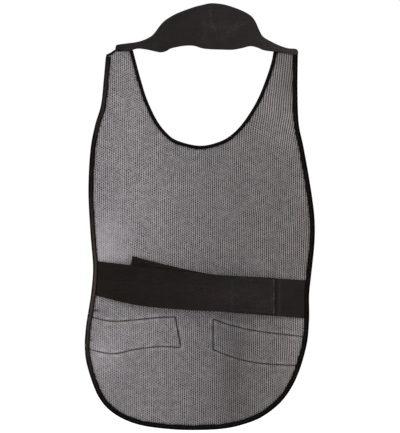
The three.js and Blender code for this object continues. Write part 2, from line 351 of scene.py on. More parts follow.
def lining_tone_and_painted_light(x, z):
    """How light the knit is drawn, mostly painted light and shade: paler along the left side, darker down the
    right of the middle, and paler by the belt's edges as painted light over its shadow.
    """
    out = 0.72 - 0.12 * ease(x, -180, 50) - 0.03 * ease(x, 60, 220)
    out -= 0.05 * lobe(x, z, 100, -600, 60, 110) + 0.04 * lobe(x, z, -29, -945, 40, 50)
    out -= 0.22 * ease(x, 160, 220) * ease(z, -330, -200)
    out += 0.42 * lobe(x, z, -262, -640, 62, 80)
    out += 0.1 * lobe(x, z, -180, -560, 120, 150) + 0.07 * lobe(x, z, -210, -330, 60, 120)
    out += 0.3 * lobe(x, z, -258, -925, 48, 62) + 0.12 * lobe(x, z, -180, -860, 70, 50)
    out -= 0.06 * lobe(x, z, -222, -1000, 22, 30)
    out -= 0.19 * ease(-z, 640, 900) * bell(x - 88, 58)
    out += 0.2 * lobe(x, z, 268, -895, 42, 90)
    out += 0.14 * lobe(x, z, 285, -400, 26, 120)
    out += 0.09 * bell(to_path(np.stack([x, z], 1), BELT_EDGES)[0], 17)
    return out + 0.025 * smooth_noise(x, z, 60, 21)


def lining_relief(x, z):
    """How far the lining's face stands out (mm) from its even thickness, toward the wearer."""
    p = np.stack([x, z], 1)
    rim = past_tape(p)
    out = 0.35 * smooth_noise(x, z, 46, 3)
    out -= 0.85 * bell(rim, 3.0) * (1 + 0.35 * np.sin(TAU * (x - z) / 13))
    out += 0.45 * bell(rim - 9, 6) * (1 + 0.5 * np.sin(TAU * (x - z) / 27))
    for seam in (seam_left, seam_right):
        d, s = to_path(p, seam)
        out -= 1.5 * bell(d, 1.5) * (1 + 0.2 * np.sin(TAU * s / 9))
        out += 0.85 * bell(d - 7, 4.5) * (1 + 0.45 * np.sin(TAU * s / 19 + 1))
    return np.clip(out, -1.7, 1.3)


def cover_relief(x, z):
    """The same for the outer cover, away from the wearer."""
    p = np.stack([x, z], 1)
    rim = past_tape(p)
    out = 0.5 * smooth_noise(x, z, 60, 8) + 0.22 * smooth_noise(x, z, 18, 9)
    out -= 0.5 * bell(rim, 3.0) * (1 + 0.5 * np.sin(TAU * (x - z) / 11))
    out += 0.5 * bell(rim - 8, 6) * (1 + 0.6 * np.sin(TAU * (x - z) / 23))
    return np.clip(out, -0.7, 1.1)


# ---------------- meshes


def new_mesh(name, verts, faces, material, uv):
    """A smooth mesh in the scene, from points and UVs in millimetres."""
    mesh = bpy.data.meshes.new(name)
    mesh.from_pydata([tuple(v) for v in np.asarray(verts) / 1000], [], [list(map(int, f)) for f in faces])
    mesh.materials.append(material)
    layer = mesh.uv_layers.new(name="UVMap")
    loops = np.empty(len(mesh.loops), int)
    mesh.loops.foreach_get("vertex_index", loops)
    layer.data.foreach_set("uv", (np.asarray(uv)[loops] / 1000).astype(np.float32).ravel())
    mesh.polygons.foreach_set("use_smooth", [True] * len(mesh.polygons))
    mesh.update()
    obj = bpy.data.objects.new(name, mesh)
    bpy.context.scene.collection.objects.link(obj)
    return obj


def store(obj, name, values):
    """Stores a value per point for the material."""
    layer = obj.data.attributes.new(name, "FLOAT", "POINT")
    layer.data.foreach_set("value", np.asarray(values, np.float32))


def at_depth(flat, y):
    """Flat [x, z] points as [x, y, z]."""
    return np.stack([flat[:, 0], y, flat[:, 1]], 1)


def closed_sheet(name, flat, tris, front, back, material):
    """A closed sheet over flat [x, z] points, from y = front to y = back, with a wall round its rim."""
    n = len(flat)
    verts = np.vstack([at_depth(flat, front), at_depth(flat, back)])
    faces = [tuple(t) for t in tris] + [tuple(t[::-1] + n) for t in tris]
    edges = dict.fromkeys((t[k], t[(k + 1) % 3]) for t in tris for k in range(3))
    faces += [(q, p, p + n, q + n) for p, q in edges if (q, p) not in edges]
    return new_mesh(name, verts, faces, material, np.vstack([flat, flat]))


def puffed(name, flat, tris, rim_count, front, back, material):
    """A closed pad whose two faces meet along the rim, which is the first rim_count points."""
    n = len(flat)
    verts = np.vstack([at_depth(flat, front), at_depth(flat[rim_count:], back[rim_count:])])

    def other(i):
        return i if i < rim_count else i - rim_count + n

    faces = [tuple(t) for t in tris] + [tuple(other(i) for i in t[::-1]) for t in tris]
    return new_mesh(name, verts, faces, material, np.vstack([flat, flat[rim_count:]]))


def sweep(name, line, section, material):
    """A closed section carried along a flat [x, z] line, shut at its ends: [inward, y] at each station."""
    stations, count = section.shape[:2]
    x, z = section_places(line, section)
    verts = np.stack([x, section[:, :, 1], z], 2).reshape(-1, 3)
    faces = []
    for i in range(stations - 1):
        for k in range(count):
            a, b = i * count + k, i * count + (k + 1) % count
            faces.append((a, b, b + count, a + count))
    faces.append(tuple(range(count))[::-1])
    faces.append(tuple(range((stations - 1) * count, stations * count)))
    around = np.cumsum(np.linalg.norm(np.diff(section, axis=1), axis=2), axis=1)
    around = np.concatenate([np.zeros((stations, 1)), around], 1)
    uv = np.stack([np.repeat(run_along(line), count), around.ravel()], 1)
    return new_mesh(name, verts, faces, material, uv)


def section_places(line, section):
    """Where a carried section's points lie in x and z."""
    n = normals_of(line)
    return line[:, :1] + section[:, :, 0] * n[:, :1], line[:, 1:] + section[:, :, 0] * n[:, 1:]


def outward(obj):
    """Turns the faces of a closed mesh outward, if they face in."""
    bm = bmesh.new()
    bm.from_mesh(obj.data)
    if bm.calc_volume(signed=True) < 0:
        bmesh.ops.reverse_faces(bm, faces=bm.faces[:])
        bm.to_mesh(obj.data)
    bm.free()
    return obj


# A thread's rings, as [place along its length, share of its radius], and the points in each.
THREAD_RINGS = [(-0.5, 0.15), (-0.36, 0.85), (0.0, 1.0), (0.36, 0.85), (0.5, 0.15)]
THREAD_SIDES = 6
THREAD_ARCH = 0.25


def stitches(name, line, side, length=2.7, pitch=3.6, radius=0.42):
    """Short threads laid end to end along a 3-D line, arched toward -Y (side -1) or +Y (side 1)."""
    run = run_along(line)
    verts, faces = [], []
    for s in np.arange(pitch / 2, run[-1] - pitch / 2, pitch):
        centre = np.array([np.interp(s, run, line[:, k]) for k in range(3)])
        ahead = np.array([np.interp(s + 1, run, line[:, k]) for k in range(3)])
        forward = ahead - centre
        forward /= np.linalg.norm(forward) + 1e-9
        proud = np.array([0.0, side, 0.0])
        proud -= forward * (proud @ forward)
        proud /= np.linalg.norm(proud) + 1e-9
        sideways = np.cross(forward, proud)
        base = len(verts)
        for along, wide in THREAD_RINGS:
            arch = THREAD_ARCH * (1 - (2 * along) ** 2)
            for k in range(THREAD_SIDES):
                a = TAU * k / THREAD_SIDES
                verts.append(
                    centre + forward * along * length
                    + sideways * math.cos(a) * radius * wide
                    + proud * (math.sin(a) * radius * wide + arch)
                )
        last = base + (len(THREAD_RINGS) - 1) * THREAD_SIDES
        for first in range(base, last, THREAD_SIDES):
            for k in range(THREAD_SIDES):
                a, b = first + k, first + (k + 1) % THREAD_SIDES
                faces.append((a, b, b + THREAD_SIDES, a + THREAD_SIDES))
        faces.append(tuple(range(base, base + THREAD_SIDES))[::-1])
        faces.append(tuple(range(last, last + THREAD_SIDES)))
    verts = np.array(verts)
    return outward(new_mesh(name, verts, faces, THREAD, verts[:, [0, 2]]))


def place(piece, body, slot, *nodes):
    """Says which body a piece rides and the nodes it stands for; the slot is not used."""
    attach(piece, body)
    if nodes:
        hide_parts(*nodes)
    return piece


# ---------------- materials


class Shader:
    """A material's node tree, with short calls that add a node and return its output."""

    def __init__(self, name):
        self.material = bpy.data.materials.new(name)
        self.material.use_nodes = True
        self.tree = self.material.node_tree
        self.bsdf = self.tree.nodes["Principled BSDF"]
        uv = self.add("UVMap")
        uv.uv_map = "UVMap"
        self.uv = uv.outputs["UV"]

    def put(self, value, socket):
        if isinstance(value, bpy.types.NodeSocket):
            self.tree.links.new(value, socket)
        else:
            socket.default_value = value

    def add(self, kind, **inputs):
        node = self.tree.nodes.new("ShaderNode" + kind)
        for name, value in inputs.items():
            self.put(value, node.inputs[name])
        return node

    def math(self, operation, *values):
        node = self.add("Math")
        node.operation = operation
        for value, socket in zip(values, node.inputs):
            self.put(value, socket)
        return node.outputs[0]

    def times(self, a, b):
        return self.math("MULTIPLY", a, b)

    def split(self):
        """u and v, in metres."""
        node = self.add("SeparateXYZ", Vector=self.uv)
        return node.outputs[0], node.outputs[1]

    def stretch(self, sx, sy):
        node = self.add("VectorMath", Vector=self.uv)
        node.operation = "MULTIPLY"
        node.inputs[1].default_value = (sx, sy, 1)
        return node.outputs[0]

    def noise(self, scale, detail=3, rough=0.55, vector=None, distortion=0.0):
        node = self.add("TexNoise", Scale=scale, Detail=detail, Roughness=rough, Distortion=distortion)
        self.put(self.uv if vector is None else vector, node.inputs["Vector"])
        return node.outputs[0]

    def remap(self, value, a, b, c=0.0, d=1.0, smooth=False):
        node = self.add("MapRange")
        node.interpolation_type = "SMOOTHSTEP" if smooth else "LINEAR"
        self.put(value, node.inputs[0])
        for k, v in enumerate((a, b, c, d)):
            node.inputs[k + 1].default_value = v
        return node.outputs[0]

    def wave(self, coordinate, period_mm, phase=0.0):
        """cos of a coordinate in metres, with a period in millimetres."""
        turned = self.math("MULTIPLY_ADD", coordinate, TAU * 1000 / period_mm, phase)
        return self.math("COSINE", turned)

    def attribute(self, name):
        node = self.add("Attribute")
        node.attribute_name = name
        return node.outputs["Fac"]

    def mix(self, factor, a, b):
        node = self.add("Mix")
        node.data_type = "RGBA"
        self.put(factor, node.inputs["Factor"])
        for value, socket in ((a, node.inputs[6]), (b, node.inputs[7])):
            self.put(value if isinstance(value, bpy.types.NodeSocket) else (*value, 1), socket)
        return node.outputs[2]

    def bump(self, height, strength, distance_mm):
        node = self.add("Bump", Height=height, Strength=strength, Distance=distance_mm / 1000)
        self.put(node.outputs[0], self.bsdf.inputs["Normal"])

    def finish(self, colour, rough, sheen=0.0, sheen_rough=0.5, specular=0.5):
        settings = {
            "Base Color": colour, "Roughness": rough, "Sheen Weight": sheen,
            "Sheen Roughness": sheen_rough, "Sheen Tint": (1, 1, 1, 1), "Specular IOR Level": specular,
        }
        for name, value in settings.items():
            self.put(value, self.bsdf.inputs[name])
        return self.material


def linear(r, g, b):
    """A display colour from 0 to 255 as linear light."""
    return tuple(((c / 255 + 0.055) / 1.055) ** 2.4 if c > 10 else c / 255 / 12.92 for c in (r, g, b))


def paler(colour, by):
    """A display colour made paler (or darker, below 0), as linear light."""
    return linear(*[max(4, c + by) for c in colour])


MESH_COLUMN, MESH_ROW = 5.5, 6.2  # the knit's ribs and rows of holes


def lining_material():
    """Spacer mesh: ribs and staggered holes that wander, denser to the right, napped in places."""
    s = Shader("spacer_mesh_knit")
    u, v = s.split()
    # The knit's drift, and the ribs that fan out below the right shoulder.
    drift = s.noise(16, 3)
    wander = s.noise(5, 2)
    u = s.math("MULTIPLY_ADD", drift, 0.006, s.math("MULTIPLY_ADD", wander, 0.012, u))
    v = s.math("MULTIPLY_ADD", drift, 0.007, v)
    across = s.remap(u, -0.28, 0.28)
    shoulder = s.times(s.remap(u, 0.15, 0.22), s.remap(v, -0.4, -0.24))
    uneven = s.math("SUBTRACT", s.noise(230, 2), 0.5)
    fan = s.math("MULTIPLY_ADD", s.math("SUBTRACT", u, 0.2), 0.09, s.remap(v, -0.42, -0.12, 0, 0.03))
    fan = s.times(fan, s.times(s.remap(u, 0.0, 0.13), s.remap(v, -0.45, -0.28)))
    u = s.math("MULTIPLY_ADD", s.remap(across, 0.15, 0.7, 0.0045, 0.0), uneven, u)
    u = s.math("SUBTRACT", u, fan)
    # Holes, ribs and yarn.
    strength = s.math("ADD", s.remap(across, 0, 1, 0.5, 0.8), s.times(shoulder, 0.7))
    dots = s.times(s.wave(u, MESH_COLUMN * 2), s.wave(v, MESH_ROW))
    hole = s.remap(dots, -0.05, 0.8, smooth=True)
    rib = s.math("MULTIPLY_ADD", s.wave(u, MESH_COLUMN), -0.5, 0.5)
    yarn = s.noise(900, 2, vector=s.stretch(1, 0.35))
    grain = s.noise(420, 1, vector=s.stretch(1, 0.8))
    patch = s.noise(70, 3)
    large = s.noise(7, 2)
    hole = s.times(hole, s.remap(patch, 0.35, 0.65, 0.45, 1.0))
    hole = s.times(hole, s.math("MULTIPLY_ADD", shoulder, -0.45, 1.0))
    # Colours, from the holes' depth up to the lit ribs.
    # Painted light: the base colour, like the rib colour below, is lighter toward the left and darker toward
    # the right.
    base = s.mix(across, linear(92, 89, 92), linear(62, 57, 56))
    base = s.mix(s.remap(large, 0.3, 0.7, 0, 0.35), base, linear(122, 117, 118))
    base = s.mix(shoulder, base, linear(2, 1, 1))
    bright = s.mix(across, linear(232, 226, 230), linear(212, 203, 202))
    ribbing = s.times(s.math("MAXIMUM", s.remap(patch, 0.3, 0.7, 1.0, 0.7), shoulder), strength)
    light = s.mix(s.times(rib, ribbing), base, bright)
    light = s.mix(s.remap(grain, 0.5, 0.75, 0, 0.5), light, bright)
    fibre = s.mix(s.remap(yarn, 0.35, 0.75, 0, 0.55), light, linear(50, 46, 47))
    knit = s.mix(s.times(hole, 0.97), fibre, linear(14, 12, 12))
    # Napped and pressed places hide the holes; painted shade and painted highlights follow the seams and the
    # bindings.
    napped = s.remap(s.attribute("tone"), 0.76, 1.06, 0, 0.52)
    pressed = s.times(s.remap(across, 0.45, 0.15, 0, 0.22), s.remap(v, -0.76, -0.82))
    knit = s.mix(s.math("MAXIMUM", napped, pressed), knit, linear(131, 126, 130))
    shade = s.attribute("shade")
    # Painted highlight beside the seams, then painted shade along them and the bindings.
    knit = s.mix(s.remap(shade, 0, -0.6, 0, 0.6), knit, linear(205, 199, 199))
    knit = s.mix(s.remap(shade, 0, 1, 0, 0.95), knit, linear(12, 10, 10))
    # Painted light and shade: the knit's colour scaled by the tone attribute.
    tone = s.add("VectorMath", Vector=knit)
    tone.operation = "SCALE"
    s.put(s.attribute("tone"), tone.inputs["Scale"])
    height = s.math("MULTIPLY_ADD", hole, -1.0, s.times(rib, 0.45))
    height = s.math("MULTIPLY_ADD", yarn, 0.18, height)
    s.bump(height, 0.6, 0.9)
    return s.finish(tone.outputs[0], s.remap(yarn, 0, 1, 0.82, 1.0), 0.04, 0.5, specular=0.12)


def tape_material():
    """Ribbed black tape, with a painted highlight along its rounded middle and a wider, paler painted
    highlight in places.
    """
    s = Shader("binding_tape_weave")
    u, v = s.split()
    ribs = s.wave(u, 0.9)
    twill = s.wave(s.math("ADD", u, v), 1.3)
    wear = s.noise(60, 4)
    fine = s.noise(900, 2)
    # The pale middle band is a painted highlight on the tape's rounded face; the attribute adds a wider,
    # paler painted highlight.
    middle = 0.0066
    off_centre = s.math("ABSOLUTE", s.math("SUBTRACT", v, middle))
    centre = s.remap(off_centre, 0.0027, 0.0004, smooth=True)
    pale_marks_and_painted_light = s.times(s.attribute("pale_marks_and_painted_light"), s.remap(off_centre, 0.0055, 0.0015, smooth=True))
    base = s.mix(s.remap(wear, 0.4, 0.75), linear(2, 1, 1), linear(6, 4, 3))
    base = s.mix(s.times(centre, s.remap(wear, 0.3, 0.7, 0.35, 0.8)), base, linear(28, 23, 23))
    base = s.mix(s.times(pale_marks_and_painted_light, s.remap(wear, 0.3, 0.7, 0.65, 1.0)), base, linear(70, 62, 60))
    colour = s.mix(s.remap(fine, 0.45, 0.8, 0, 0.2), base, linear(24, 19, 18))
    height = s.math("MULTIPLY_ADD", ribs, 0.35, s.times(twill, 0.3))
    height = s.math("MULTIPLY_ADD", fine, 0.4, height)
    s.bump(height, 0.35, 0.35)
    return s.finish(colour, s.remap(wear, 0.3, 0.7, 0.5, 0.68), 0.0, 0.4, specular=0.02)


def brushed_material(name, left, right, lint, scale, lint_share):
    """Brushed, slightly fluffy fabric with faint streaks and pale lint, darker toward the left with painted
    shade.
    """
    s = Shader(name)
    u, v = s.split()
    nap = s.noise(420 * scale, 4, 0.7)
    streak = s.noise(120, 3, vector=s.stretch(0.25, 1.6))
    cloud = s.noise(22, 3)
    speck = s.remap(s.noise(230, 2, 0.8), 0.66, 0.78)
    rib = s.wave(v, 2.1)
    across = s.remap(u, -0.26, 0.24)
    # Painted light and shade: the left colour at the left, shading to the right colour at the right.
    base = s.mix(across, linear(*left), linear(*right))
    base = s.mix(s.remap(cloud, 0.35, 0.75, 0, 0.3), base, paler(right, 9))
    base = s.mix(s.remap(streak, 0.45, 0.8, 0, 0.3), base, paler(right, 14))
    base = s.mix(s.remap(nap, 0.4, 0.8, 0, 0.5), base, paler(left, -10))
    colour = s.mix(s.times(speck, lint_share), base, linear(*lint))
    # Pale marks and painted light from the attribute, in the lint's colour and broken up.
    broken = s.remap(s.noise(260, 3, 0.75), 0.44, 0.6, 0.0, 1.0)
    colour = s.mix(s.times(s.attribute("pale_marks_and_painted_light"), broken), colour, linear(*lint))
    height = s.math("MULTIPLY_ADD", nap, 0.9, s.times(rib, 0.18))
    height = s.math("MULTIPLY_ADD", streak, 0.5, height)
    s.bump(height, 0.35, 0.5)
    return s.finish(colour, s.remap(nap, 0.3, 0.8, 0.82, 0.96), 0.03, 0.55, specular=0.07)


def nylon_material():
    """Smooth dark nylon with fine creases."""
    s = Shader("coated_nylon")
    u, v = s.split()
    weave = s.times(s.wave(u, 0.8), s.wave(v, 0.8))
    crease = s.noise(26, 4, 0.6, distortion=0.6)
    cloud = s.noise(9, 3)
    colour = s.mix(s.remap(cloud, 0.3, 0.7), linear(24, 25, 29), linear(34, 35, 40))
    colour = s.mix(s.remap(crease, 0.55, 0.85, 0, 0.4), colour, linear(58, 59, 64))
    height = s.math("MULTIPLY_ADD", weave, 0.22, s.times(crease, 1.3))
    s.bump(height, 0.45, 1.0)
    return s.finish(colour, s.remap(crease, 0.3, 0.7, 0.46, 0.62), 0.03, 0.4, specular=0.3)


def pile_material(name, dark, pale, hook_pitch=None):
    """Loop pile, or with a hook pitch the rows of moulded hooks."""
    s = Shader(name)
    pile = s.noise(700, 4, 0.75)
    if hook_pitch:
        u, v = s.split()
        rows = s.times(s.wave(u, hook_pitch), s.wave(v, hook_pitch))
        colour = s.mix(s.remap(rows, 0.2, 0.9, 0, 0.7), linear(*dark), paler(pale, 25))
        height = s.math("MULTIPLY_ADD", rows, 1.0, s.times(pile, 0.2))
    else:
        clump = s.noise(130, 3)
        colour = s.mix(s.remap(clump, 0.35, 0.7), linear(*dark), linear(*pale))
        colour = s.mix(s.remap(pile, 0.5, 0.85, 0, 0.6), colour, paler(pale, 30))
        height = s.math("MULTIPLY_ADD", pile, 1.4, s.times(clump, 0.8))
    s.bump(height, 0.7, 0.9)
    sheen = 0.0 if hook_pitch else 0.06
    return s.finish(colour, s.remap(pile, 0.3, 0.8, 0.7, 0.98), sheen, 0.6, specular=0.12)


def thread_material():
    """Twisted black polyester."""
    s = Shader("polyester_thread")
    u, v = s.split()
    twist = s.wave(s.math("ADD", u, v), 0.7)
    fuzz = s.noise(1200, 2)
    colour = s.mix(s.remap(fuzz, 0.3, 0.7), linear(16, 14, 14), linear(34, 31, 31))
    s.bump(twist, 0.4, 0.2)
    return s.finish(colour, s.remap(fuzz, 0.3, 0.7, 0.5, 0.7), 0.0, 0.4, specular=0.12)


def vinyl_material():
    """Grey lead-loaded vinyl."""
    s = Shader("loaded_vinyl")
    mottle = s.noise(90, 4, 0.65)
    grain = s.noise(900, 2)
    colour = s.mix(s.remap(mottle, 0.3, 0.7), linear(72, 75, 80), linear(98, 101, 106))
    s.bump(s.math("ADD", mottle, grain), 0.25, 0.3)
    return s.finish(colour, s.remap(mottle, 0.3, 0.7, 0.5, 0.68))


LINING = lining_material()
TAPE = tape_material()
# Each cloth's darker left colour and lighter right colour are painted shade and painted light.
YOKE_CLOTH = brushed_material("yoke_brushed_cloth", (25, 20, 19), (36, 31, 31), (88, 84, 84), 1.0, 0.4)
STRAP_CLOTH = brushed_material("belt_brushed_web", (17, 12, 8), (29, 24, 23), (96, 88, 82), 0.9, 0.45)
NYLON = nylon_material()
LOOP_PILE = pile_material("loop_pile", (14, 13, 13), (26, 24, 24))
HOOK_TAPE = pile_material("hook_tape", (12, 12, 12), (26, 26, 27), hook_pitch=1.6)
THREAD = thread_material()
VINYL = vinyl_material()

# ---------------- panel


def panel_outline(edge, shoulder, skip, shoulder_skip):
    """The panel's outline moved inward, less the end points that would cross at its corners."""
    paths = (
        (sides, edge, skip), (shoulder_right, shoulder, shoulder_skip),
        (neck, edge, skip), (shoulder_left, shoulder, shoulder_skip),
    )
    return np.vstack([inward(path, distance)[cut:-cut] for path, distance, cut in paths])


flat, tris, _ = fill(panel_outline(1.6, 1.0, 1, 1), 5.0, [seam_left, seam_right])
fx, fz = flat[:, 0], flat[:, 1]
mid = panel_mid(fx, fz)
lining = closed_sheet(
    "mesh_lining_cloth", flat, tris, mid + LINING_FRONT - lining_relief(fx, fz), mid + LINING_BACK, LINING
)
store(lining, "shade", np.tile(lining_shade(fx, fz), 2))
store(lining, "tone", np.tile(lining_tone_and_painted_light(fx, fz), 2))
place(lining, "panel", "lining_mesh", "mesh_lining")
cover = closed_sheet(
    "outer_cover_cloth", flat, tris, mid + COVER_FRONT, mid + COVER_BACK + cover_relief(fx, fz), NYLON
)
place(cover, "panel", "cover_nylon", "outer_cover")

sflat, stris, _ = fill(panel_outline(14.5, 13, 4, 5), 11.0)
smid = panel_mid(sflat[:, 0], sflat[:, 1])
for label, low, high in SHIELDS:
    shield = closed_sheet(f"shield_vinyl_{label}", sflat, stris, smid + low, smid + high, VINYL)
    place(shield, "panel", "shield_vinyl", f"shield_sheet_{label}")

# Binding: a folded tape over the panel's edge, as [inward of the edge, height over the middle surface].
TAPE_SECTION = np.array([
    (12.0, -3.35), (11.6, -3.95), (10.4, -4.35), (9.6, -4.15), (8.6, -4.5), (6.6, -4.75), (4.4, -4.7),
    (2.6, -4.3), (1.2, -3.5), (0.35, -2.2), (0.0, -0.4), (0.3, 1.5), (1.1, 2.8), (2.6, 3.7),
    (4.6, 4.1), (6.8, 4.15), (8.6, 3.95), (9.6, 3.6), (10.4, 3.75), (11.6, 3.4), (12.0, 3.05),
    (11.4, 2.85), (6.0, 2.85), (2.4, 2.7), (1.5, 1.6), (1.3, -0.3), (1.6, -2.2), (2.6, -3.1),
    (6.0, -3.2), (11.4, -3.2),
])
SECTION_WIDTH = 12  # as drawn above, before it is scaled to each tape
TAPE_FRONT = np.clip((TAPE_SECTION[:, 0] - 2) / 6, 0, 1) * (TAPE_SECTION[:, 1] < -2)
SEAM_INSET = 0.815  # of the tape's width
SEAM_FRONT, SEAM_REAR = -4.25, 3.7


def tape(name, line, seed, wide, node):
    """A binding that ripples a little, and is lifted at its front face over the belt's roots."""
    line = resample(line, 4.5)
    run = run_along(line)
    section = np.repeat(TAPE_SECTION[None], len(line), 0)
    ripple = 0.16 * np.sin(TAU * run / 11 + seed) + 0.14 * np.sin(TAU * run / 29 + 2 * seed)
    width = 1 + 0.035 * np.sin(TAU * run / 67 + seed) + 0.02 * np.sin(TAU * run / 23)
    section[:, :, 0] *= width[:, None]
    section[:, :, 0] *= wide / SECTION_WIDTH
    section[:, :, 1] *= 1 + 0.05 * ripple[:, None]
    section[:, :, 1] -= TAPE_LIFT * tape_rise(*line.T)[:, None] * TAPE_FRONT
    # Each point takes the panel's height at its own place, since the panel leans.
    x, z = section_places(line, section)
    section[:, :, 1] += panel_mid(x, z)
    obj = outward(sweep(name, line, section, TAPE))
    # Painted highlight along the left side's binding, low and high.
    pale_marks_and_painted_light = 0.8 * lobe(x, z, -295, -740, 40, 190) + 0.35 * lobe(x, z, -255, -250, 40, 110)
    store(obj, "pale_marks_and_painted_light", pale_marks_and_painted_light.ravel())
    return place(obj, "panel", "binding_tape", node)


def tape_seam(name, line, wide, height, side):
    """The binding's stitching on its front (side -1) or rear (side 1) face."""
    line = resample(line, 3.6)
    seam = inward(line, wide * SEAM_INSET)
    y = panel_mid(*seam.T) + height - TAPE_LIFT * tape_rise(*line.T) * (side < 0)
    return place(stitches(name, at_depth(seam, y), side), "panel", "thread")


tape("edge_binding_tape", sides[1:-1], 0.3, SIDE_TAPE, "edge_binding")
tape("neck_binding_tape", neck[1:-1], 1.1, NECK_TAPE, "neck_binding")
tape("shoulder_binding_tape_left", shoulder_left, 2.0, LEFT_TAPE, "shoulder_binding_left")
tape("shoulder_binding_tape_right", shoulder_right, 2.6, RIGHT_TAPE, "shoulder_binding_right")
for piece, line, wide in (("edge", sides, SIDE_TAPE), ("neck", neck, NECK_TAPE)):
    tape_seam(f"{piece}_seam_front", line[3:-3], wide, SEAM_FRONT, -1)
    tape_seam(f"{piece}_seam_rear", line[3:-3], wide, SEAM_REAR, 1)

# Sewn outlines of the hook-and-loop strips on the lining, and the strips on the outer cover.


def strip_outline(seam):
    """The sewn line, and the strip's outline: the line, closed along the tape's inner edge."""
    limit = SIDE_TAPE + 1.0
    rim_path = inward(sides, limit)[2:-2]
    free = seam[(to_path(seam, ring(silhouette))[0] > limit) & inside(seam, silhouette)]
    first, last = (np.linalg.norm(rim_path - end, axis=1).argmin() for end in (free[-1], free[0]))
    step = 1 if last > first else -1
    return free, np.vstack([free, rim_path[first + 2 * step : last - step : step]])


for side, seam in (("left", seam_left), ("right", seam_right)):
    line, outline = strip_outline(seam)
    path = at_depth(line, panel_mid(*line.T) + THREAD_SEAT - lining_relief(*line.T))
    thread = stitches(f"strip_stitching_{side}", path, -1, 3.3, 3.8, 0.62)
    place(thread, "panel", "thread", f"seam_stitch_{side}")
    pts, faces, _ = fill(outline, 4.5)
    x, z = pts.T
    base = panel_mid(x, z) + COVER_BACK
    top = base + cover_relief(x, z) + 1.1 + 0.25 * smooth_noise(x, z, 7, 4)
    top -= 0.6 * bell(to_path(pts, ring(outline))[0] - 2.5, 1.3)
    bottom = base + 0.25 + cover_relief(x, z) * 0.9
    strip = closed_sheet(f"loop_strip_cloth_{side}", pts, faces, bottom, top, LOOP_PILE)
    place(strip, "panel", "loop_pile", f"loop_strip_{side}")

# ---------------- yoke

yoke_outline = np.vstack([resample(spline(YOKE_TOP, 8), 2.5), resample(spline(YOKE_BOTTOM, 8), 2.5)])[::-1]


def yoke_mid(x, z):
    """The yoke's middle surface: its curve behind the neck, with a slack, wavy lower edge."""
    curve = 7 * (np.maximum(0, 1 - (x / 175) ** 2) ** 1.5 - 1)
    lower = bell(z + 121, 22) * ease(200 - np.abs(x), 0, 60)
    return curve - 3.0 * lower * np.sin(TAU * (x + 20) / 150) - 0.9 * ease(-z, 119, 128)


CREASES = [
    # centre x, z, radius, first and last angle in degrees, height, width
    (60, 130, 190, 250, 281, 0.5, 6.0),
    (122, -22, 97, 172, 208, 0.8, 4.5),
    (6, 4, 104, -58, -24, 0.6, 5.0),
    (-58, -64, 70, -30, 25, 0.5, 5.0),
    (130, -92, 46, 100, 160, 0.6, 3.4),
]


def crease_profile(x, z, crease, offset, spread):
    """One crease's height: it runs along an arc and fades at both ends."""
    cx, cz, radius, first, last, height, width = crease
    angle = np.degrees(np.arctan2(z - cz, x - cx))
    turn = np.abs((angle - (first + last) / 2 + 180) % 360 - 180)
    fade = ease((last - first) / 2 + 14 - turn, 0, 26)
    across = np.hypot(x - cx, z - cz) - radius + offset * width
    return height * fade * bell(across, spread * width)


def yoke_creases(x, z):
    return sum(crease_profile(x, z, crease, 0, 1) for crease in CREASES)


def yoke_relief(x, z):
    """Soft unevenness, and creases that each have a hollow beside them."""
    out = 0.5 * smooth_noise(x, z, 44, 12) + 0.25 * smooth_noise(x, z, 19, 13)
    return out + yoke_creases(x, z) - sum(crease_profile(x, z, crease, 2.2, 1.5) for crease in CREASES) / 2


yflat, ytris, yrim = fill(yoke_outline, 3.0)
yx, yz = yflat[:, 0], yflat[:, 1]
edge = to_path(yflat, ring(yflat[:yrim]))[0]
swell = (0.9 + 3.2 * np.maximum(0, 1 - (yx / 250) ** 2)) * rounded(edge, 8)
inner_part = ease(edge, 2, 14)
ymid = yoke_mid(yx, yz)
yoke = outward(
    puffed(
        "yoke_pad", yflat, ytris, yrim,
        ymid - swell - yoke_relief(yx, yz) * inner_part,
        ymid + swell + 0.7 * yoke_relief(yx + 37, yz + 11) * inner_part,
        YOKE_CLOTH,
    )
)
# Pale along the creases' crests and in spots, and painted light growing toward the right arm.
crumple = np.clip(smooth_noise(yx, yz, 9, 31), 0, 1.5)
pale_spots = (0.02 + 0.13 * crumple) * lobe(yx, yz, 55, -58, 46, 42)
pale_marks_and_painted_light = np.clip(yoke_creases(yx, yz) * 0.22, 0, 0.5) + pale_spots + 0.3 * ease(yx, 120, 230)
store(yoke, "pale_marks_and_painted_light", np.concatenate([pale_marks_and_painted_light, pale_marks_and_painted_light[yrim:] * 0.5]))
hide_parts("yoke_front_cover", "yoke_foam_pad", "yoke_back_cover")
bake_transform(yoke)

# ---------------- belt


# Places across a strap, in millimetres from its lower edge, and along it, as shares of its length from the
# root. They lie closer where the strap rounds over or bends.
STRAP_ROWS = np.concatenate([
    [0, 0.4, 1.2, 2.6, 5, 8.5], np.linspace(13, 82, 18), [86.5, 90, 92.4, 93.8, 94.6, 95.0],
])
STRAP_STATIONS = np.concatenate([np.linspace(0, 0.12, 16)[:-1], np.linspace(0.12, 1, 120)])


def left_mid(x):
    """The left strap's middle surface, leaning toward the wearer to pass over the right strap."""
    return ROOT_Y - STRAP_LEAN * (x + 273.5) / 469


def right_mid(x):
    return ROOT_Y + STRAP_LEAN * (271 - x) / 456


